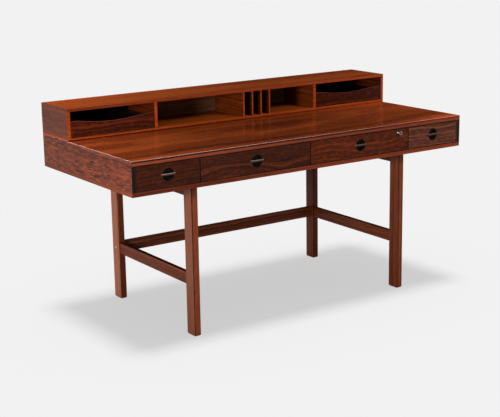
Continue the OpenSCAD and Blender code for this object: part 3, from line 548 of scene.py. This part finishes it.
def board(node, paint, grain, soft=0.0008, edges=on_box_edge, cuts=(), ending="_board"):
    """A piece that stands for a node and has its arrises rounded by soft.

    paint(normal, centre) names the material of a face, and paint(None, centre) that of a rounded arris.
    cuts holds the (axis, place) of planes that split the faces, so that each part can have its own paint.
    """
    low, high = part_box(node)
    mesh = bmesh.new()
    mesh.from_mesh(nodes[node].data)
    bmesh.ops.remove_doubles(mesh, verts=mesh.verts, dist=MERGE)
    bmesh.ops.dissolve_limit(mesh, angle_limit=math.radians(FLAT_ANGLE), verts=mesh.verts, edges=mesh.edges)
    rounded = mesh.faces.layers.int.new("rounded")
    chosen = [e for e in mesh.edges if is_sharp(e) and edges(e, low, high)]
    if soft and chosen:
        bevel = bmesh.ops.bevel(mesh, geom=chosen, offset=soft, offset_type="OFFSET", segments=SOFT_STEPS,
                                profile=0.5, affect="EDGES", clamp_overlap=True)
        for face in bevel["faces"]:
            face[rounded] = 1
    for axis, place in cuts:
        everything = mesh.verts[:] + mesh.edges[:] + mesh.faces[:]
        bmesh.ops.bisect_plane(mesh, geom=everything, plane_co=place * AXES[axis], plane_no=AXES[axis])
    names = []
    for face in mesh.faces:
        normal = None if face[rounded] else face.normal
        name = paint(normal, face.calc_center_median())
        if name not in names:
            names.append(name)
        face.material_index = names.index(name)
    mesh.faces.layers.int.remove(rounded)
    if ARRIS in names:
        mark = names.index(ARRIS)
        strips = mesh.copy()
        keep_faces(strips, lambda face: face.material_index == mark)
        keep_faces(mesh, lambda face: face.material_index != mark)
        finish_board(strips, node, node + "_arris", names, grain)
    piece = finish_board(mesh, node, node + ending, names, grain)
    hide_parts(node)


def keep_faces(mesh, wanted):
    """Deletes the other faces with what hangs on them alone."""
    bmesh.ops.delete(mesh, geom=[f for f in mesh.faces if not wanted(f)], context="FACES")


def finish_board(mesh, node, name, names, grain):
    """Object from a bmesh, with its materials, grain and even shading, that moves with its node's body."""
    data = bpy.data.meshes.new(name)
    mesh.to_mesh(data)
    mesh.free()
    write_grain(data, grain, pith_of(node))
    for material in names:
        data.materials.append(MATERIALS[material])
    data.shade_smooth()
    data.set_sharp_from_angle(angle=math.radians(SHADED_ANGLE))
    piece = bpy.data.objects.new(name, data)
    bpy.context.scene.collection.objects.link(piece)
    even = piece.modifiers.new("even_shading", "WEIGHTED_NORMAL")
    even.keep_sharp = True
    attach(piece, body_of_node[node])
    return piece


# Paints: functions that name the material of a face from its normal and its centre

def plain(name, arris=None):
    """Paint that is the same on every face, with its own arrises where those are named."""
    return lambda normal, centre: (arris or name) if normal is None else name


def bright_arris(centre):
    """Every arris shines and belongs to a piece of its own."""
    return ARRIS


def dull_arris(centre):
    """Every arris is dull, is painted a pale greyish brown as painted sheen, and belongs to its board's
    piece.
    """
    return "arris_dull"


def upper_arrises(node, below, above=ARRIS):
    """Arrises of one material on a node's upper half and of another one on its lower half."""
    low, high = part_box(node)
    return lambda centre: above if centre.z > (low.z + high.z) / 2 else below


def panel(faces, other, arris=bright_arris):
    """Paint by the side a face looks to, such as {"+Z": "top"}. arris(centre) names that of an arris."""
    def paint(normal, centre):
        if normal is None:
            return arris(centre)
        for side, name in faces.items():
            sign = 1 if side[0] == "+" else -1
            if normal["XYZ".index(side[1])] * sign > FACING:
                return name
        return other
    return paint


# Height of the dark line along the upper edge of the desk top
RIM_LINE = 0.0078


def case_top_paint():
    """The front and rear edges of the desk top have a dark line above and a paler band below."""
    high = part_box("case_top")[1]
    other = panel({"+Z": "top", "-Y": "rim", "+Y": "rim"}, "inside", upper_arrises("case_top", "rim"))

    def paint(normal, centre):
        if normal and abs(normal.y) > FACING and centre.z > high.z - RIM_LINE:
            return "rim_dark"
        return other(normal, centre)
    return paint


# Height of the painted shade along the lower edge of the gallery bottom, where it meets the desk top, and
# how far back it reaches
SHELF_SHADE = 0.004
SHELF_SHADE_REACH = 0.002


def gallery_bottom_paint():
    """The front edge has a dark line below, painted shade where it meets the desk top."""
    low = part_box("gallery_bottom")[0]
    other = panel({"+Z": "shelf", "-Z": "inside"}, "edge", dull_arris)

    def paint(normal, centre):
        if centre.z < low.z + SHELF_SHADE and centre.y < low.y + SHELF_SHADE_REACH:
            return "rim_dark"
        return other(normal, centre)
    return paint


def gallery_back_paint():
    """The back is painted paler in the open bays than behind the small drawers, as painted light and shade.
    """
    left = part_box("gallery_wall_left")[0].x
    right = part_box("gallery_wall_right")[1].x

    def paint(normal, centre):
        if normal.y > -FACING:
            return "side"
        return "deep" if left < centre.x < right else "recess"
    return paint


def divider_paint():
    """The face towards the wide bay is as pale as the bay, and the faces in the slots are painted dark, as
    painted shade.
    """
    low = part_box("letter_dividers")[0]
    other = panel({"-Y": "edge"}, "slot", dull_arris)

    def paint(normal, centre):
        if normal and normal.x < -FACING and centre.x < low.x + FLAT:
            return "inside"
        return other(normal, centre)
    return paint


# Width of the dark line beside the left corner of a front leg
LEG_LINE = 0.0055


def leg_paint(leg, left_face, other):
    """A leg with its own paint on its left face, a paler copy of the wood as painted light on the left legs,
    and, beside the left corner of its front, a dark line.
    """
    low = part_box(leg)[0]

    def paint(normal, centre):
        if normal.x < -FACING:
            return left_face
        return "streak" if normal.y < -FACING and centre.x < low.x + LEG_LINE else other
    return paint


# Width of the black line along the lower edge and the ends of a drawer front, painted shade of the gaps
# round it, and the radius and depth that hold the dish behind its pull
FRONT_GAP_SHADE = 0.002
DISH_REACH = 0.0262
DISH_DEPTH = 0.0125


def front_paint(i):
    """Dark veneer with black edges, painted shade of the gaps round it, and a nearly black dish behind the
    pull.
    """
    low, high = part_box(f"drawer_{i}_front")
    middle = sum(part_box(f"drawer_{i}_pull"), Vector()) / 2

    def paint(normal, centre):
        inner = low.x + FRONT_GAP_SHADE < centre.x < high.x - FRONT_GAP_SHADE and centre.z >= low.z + FRONT_GAP_SHADE
        if normal is None or not inner:
            return "black"
        near = math.hypot(centre.x - middle.x, centre.z - middle.z) < DISH_REACH
        if near and low.y + FLAT < centre.y < low.y + DISH_DEPTH:
            return "recess"
        return f"front_{i}" if abs(normal.y) > FACING else "black"
    return paint


# The desk's wood, one group of sub-parts after the other

SIDES = {"left": "-X", "right": "+X"}

# Distance from a gallery wall's left face to the hidden cut between two paints of the back
BACK_CUT = 0.005


def dress_case():
    board("case_top", case_top_paint(), "X", soft=0.0016, cuts=[("Z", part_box("case_top")[1].z - RIM_LINE)])
    edges = {"-Y": "rim_low", "-X": "rim", "+X": "rim", "+Y": "rim"}
    board("case_bottom", panel(edges, "inside", dull_arris), "X")
    for side, outer in SIDES.items():
        board(f"case_side_{side}", panel({outer: "side", "+Z": "arris"}, "black"), "Y", soft=0.0006)
    board("case_back", plain("side"), "X", soft=0)
    board("partitions", plain("inside"), "Y", soft=0)
    board("drawer_runners", plain("pale"), "Y", soft=0.0006)


def dress_leg_frames():
    for side in SIDES:
        for end, other in (("front", "frame_front"), ("rear", "frame")):
            leg = f"leg_{end}_{side}"
            # The left faces of the left legs get paler copies of the frame wood, and the front legs a paler
            # frame paint, as painted light
            left_face = f"leg_{end}" if side == "left" else other
            cuts = [("X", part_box(leg)[0].x + LEG_LINE)] if end == "front" else []
            board(leg, leg_paint(leg, left_face, other), "Z", soft=0, cuts=cuts)
        board(f"top_rail_{side}", plain("frame"), "Y")
        # The stretcher's top face and arrises get the dark slot paint, as painted shade under the case
        board(f"side_stretcher_{side}", panel({"+Z": "slot"}, "frame", lambda centre: "slot"), "Y")
    board("back_stretcher", plain("frame"), "X")


def dress_gallery():
    faces = {"+Z": "gallery_top", "-Y": "lip", "-X": "gallery_side", "+X": "gallery_side"}
    board("gallery_top", panel(faces, "inside", dull_arris), "X", soft=0.001)
    line = ("Z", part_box("gallery_bottom")[0].z + SHELF_SHADE)
    board("gallery_bottom", gallery_bottom_paint(), "X", soft=0.0007, cuts=[line])
    for side, outer in SIDES.items():
        # The faces towards the small drawers' openings get the darker wall paint, as painted shade
        end_paint = panel({outer: "gallery_side", "-Y": "edge"}, "wall", dull_arris)
        board(f"gallery_end_{side}", end_paint, "Y", soft=0.0006)
        wall_paint = panel({outer: "wall", "-Y": "edge"}, "inside", dull_arris)
        board(f"gallery_wall_{side}", wall_paint, "Y", soft=0.0006)
    behind_walls = [("X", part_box(f"gallery_wall_{side}")[0].x + BACK_CUT) for side in SIDES]
    board("gallery_back", gallery_back_paint(), "X", soft=0, cuts=behind_walls)
    board("letter_dividers", divider_paint(), "Y", soft=0.0006)
    board("gallery_runners", plain("pale"), "Y", soft=0.0005)


def dress_small_drawers():
    for side in SIDES:
        board(f"small_{side}_front", plain("dark", "arris_dull"), "X", soft=0.0012, edges=on_front)
        # The small drawers' boxes and bottoms are painted nearly black, as painted shade inside their
        # openings
        board(f"small_{side}_box", plain("black"), "Y", soft=0.0005)
        board(f"small_{side}_bottom", plain("black"), "X", soft=0)


def dress_drawers():
    for i in FRONTS:
        drawer = f"drawer_{i}"
        low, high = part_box(f"{drawer}_front")
        lines = [("Z", low.z + FRONT_GAP_SHADE), ("X", low.x + FRONT_GAP_SHADE), ("X", high.x - FRONT_GAP_SHADE)]
        board(f"{drawer}_front", front_paint(i), "X", cuts=lines)
        # The pull's underside and lower arrises are painted black, as the pull's painted shadow
        arrises = upper_arrises(f"{drawer}_pull", "black", "pull")
        pull_paint = panel({"-Y": "pull_front", "-Z": "black"}, "pull", arrises)
        board(f"{drawer}_pull", pull_paint, "X", soft=0.0016, edges=any_edge)
        board(f"{drawer}_box", plain("pale"), "Y", soft=0.0006)
        board(f"{drawer}_bottom", plain("pale"), "X", soft=0)


# The desk's metal and felt

METAL_SLOTS = {
    "brass": "brass",
    "steel": "steel",
    "dark_steel": "browned",
    "nickel": "nickel",
    "felt": "felt",
}

# Brass that has darkened to the tone of the wood around it, as the photograph shows none of it
AGED = {"barrel_nuts": "brass_aged"}


def dress_metal():
    """The key is worn round, and the other metal and felt nodes keep their shape and get their finish."""
    board("key", plain("nickel"), "Y", soft=0.0009, edges=any_edge, ending="_worn")
    for node, slot in slot_of_node.items():
        if slot in METAL_SLOTS and node != "key":
            data = nodes[node].data
            data.materials.clear()
            data.materials.append(MATERIALS[AGED.get(node, METAL_SLOTS[slot])])


# Floor, light and background

FLOOR_HALF = 60
PALE = linear(242, 242, 242)[0]
FLOOR_ALBEDO = 0.20
FLOOR_LIGHT = 1.55
FLOOR_IN_GLOSS = 0.10
SKY_TOP = 1.05
SKY_POWER = 4

# Lamps right above for the desk and for the floor with its shadow: share of plain light, direction towards
# the lamp, its width in degrees
LAMP_ABOVE = (0.30, (0, 0, 1), 17)
LAMP_FLOOR = (1.20, (0, 0, 1), 14)

# Weak light on the desk alone from the camera's side, given as the lamps above
FILL = (0.06, (-0.50, -0.80, 0.35), 60)

# Soft boxes: share of plain light at the point they aim at, that point, their place, width and height
SOFT_BOXES = {
    "box_left": (0.85, (-0.82, -0.30, 0.70), (-2.95, -1.30, 1.12), 0.60, 0.50),
    "box_front": (0.40, (0.60, -0.30, 0.75), (1.40, -3.10, 3.35), 0.90, 0.60),
}

# Lamps that only the arrises and the two left pulls catch, given as the lamps above
ARRIS_LAMPS = {
    "arris_right": (0.8, (0.41, -0.20, 0.89), 7),
    "arris_back": (1.2, (-0.18, 0.82, 0.54), 9),
}

# How the names of the pieces end that those lamps light, and how the names of metal pieces begin
SHINING = ("_arris", "drawer_1_pull_board", "drawer_2_pull_board")
METAL_PIECES = ("hinge_", "stretcher_bolts", "barrel_nuts", "frame_screws", "lock_", "key")


def make_floor():
    """Floor that also shines for camera and glossy rays, so that it renders pale and keeps the shadow."""
    g = Graph(bpy.data.materials.new("floor"))
    g.tree.nodes.clear()
    path = g.node("ShaderNodeLightPath").outputs
    seen = g.math("MAXIMUM", path["Is Camera Ray"], path["Is Transmission Ray"])
    seen = g.times(seen, PALE - FLOOR_ALBEDO * FLOOR_LIGHT)
    strength = g.add(seen, g.times(path["Is Glossy Ray"], FLOOR_IN_GLOSS))
    diffuse = g.node("ShaderNodeBsdfDiffuse")
    diffuse.inputs["Color"].default_value = (FLOOR_ALBEDO, FLOOR_ALBEDO, FLOOR_ALBEDO, 1)
    glow = g.node("ShaderNodeEmission")
    g.feed(glow.inputs["Strength"], strength)
    both = g.call(g.node("ShaderNodeAddShader"), diffuse.outputs[0], glow.outputs[0])
    g.feed(g.node("ShaderNodeOutputMaterial").inputs["Surface"], both)

    h = FLOOR_HALF
    data = bpy.data.meshes.new("floor")
    data.from_pydata([(-h, -h, 0), (h, -h, 0), (h, h, 0), (-h, h, 0)], [], [(0, 1, 2, 3)])
    data.materials.append(g.owner)
    floor = bpy.data.objects.new("floor", data)
    bpy.context.scene.collection.objects.link(floor)
    floor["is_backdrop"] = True
    return floor


def make_world():
    """Studio sky, dark at the horizon and bright above, which camera rays see as the pale background."""
    world = bpy.data.worlds.new("studio")
    bpy.context.scene.world = world
    g = Graph(world)
    apart = g.node("ShaderNodeSeparateXYZ")
    g.feed(apart.inputs[0], g.node("ShaderNodeTexCoord").outputs["Generated"])
    sky = g.times(g.math("POWER", apart.outputs["Z"], SKY_POWER, clamp=True), SKY_TOP)
    pick = g.node("ShaderNodeMix")
    g.feed(pick.inputs["Factor"], g.node("ShaderNodeLightPath").outputs["Is Camera Ray"])
    g.feed(pick.inputs["A"], sky)
    g.feed(pick.inputs["B"], PALE)
    back = g.tree.nodes["Background"]
    back.inputs["Color"].default_value = (1, 1, 1, 1)
    g.feed(back.inputs["Strength"], pick.outputs["Result"])


def place_lamp(name, data, towards):
    """Object of a lamp that shines from that direction."""
    lamp = bpy.data.objects.new(name, data)
    lamp.rotation_mode = "QUATERNION"
    lamp.rotation_quaternion = towards.to_track_quat("Z", "Y")
    bpy.context.scene.collection.objects.link(lamp)
    return lamp


def make_sun(name, level, source, angle):
    """Lamp of that share of plain light from a direction, as wide as angle in degrees."""
    data = bpy.data.lights.new(name, "SUN")
    data.energy = level * math.pi
    data.angle = math.radians(angle)
    return place_lamp(name, data, Vector(source))


def make_soft_box(name, level, target, place, width, height):
    """Rectangular lamp at a place, aimed at a point that gets that share of plain light from it."""
    aim = Vector(place) - Vector(target)
    data = bpy.data.lights.new(name, "AREA")
    data.shape = "RECTANGLE"
    data.size = width
    data.size_y = height
    data.energy = level * (math.pi * aim.length) ** 2
    lamp = place_lamp(name, data, aim)
    lamp.location = place
    return lamp


def light_only(lamp, name, pieces):
    """Lets a lamp light those pieces and nothing else."""
    made = bpy.data.collections.get(name) or bpy.data.collections.new(name)
    for piece in pieces:
        if piece.name not in made.objects:
            made.objects.link(piece)
    lamp.light_linking.receiver_collection = made


def mirrors_lamps(name):
    """Whether that is the name of a piece of metal, a pull or an arris."""
    return name.startswith(METAL_PIECES) or "_pull" in name or name.endswith("_arris")


def make_light(floor):
    """One lamp lights the floor and gives it the desk's shadow. The others light the desk or its arrises.

    The lacquer mirrors the sky and not the strong lamps, whose mirror images would burn out at flat angles.
    Metal, the pulls and the arrises do mirror them.
    """
    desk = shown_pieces()
    light_only(make_sun("lamp_floor", *LAMP_FLOOR), "floor", [floor])
    light_only(make_sun("fill", *FILL), "desk", desk)
    for group, mirrored in (("lacquer", False), ("mirrors", True)):
        lamps = [make_sun("lamp_above", *LAMP_ABOVE)]
        lamps += [make_soft_box(name, *values) for name, values in SOFT_BOXES.items()]
        for lamp in lamps:
            light_only(lamp, group, [p for p in desk if mirrors_lamps(p.name) == mirrored])
            lamp.visible_glossy = mirrored
    for name, values in ARRIS_LAMPS.items():
        light_only(make_sun(name, *values), "shining", [p for p in desk if p.name.endswith(SHINING)])


make_camera()
dress_case()
dress_leg_frames()
dress_gallery()
dress_small_drawers()
dress_drawers()
dress_metal()
make_light(make_floor())
make_world()
bpy.context.scene.view_settings.view_transform = "Standard"
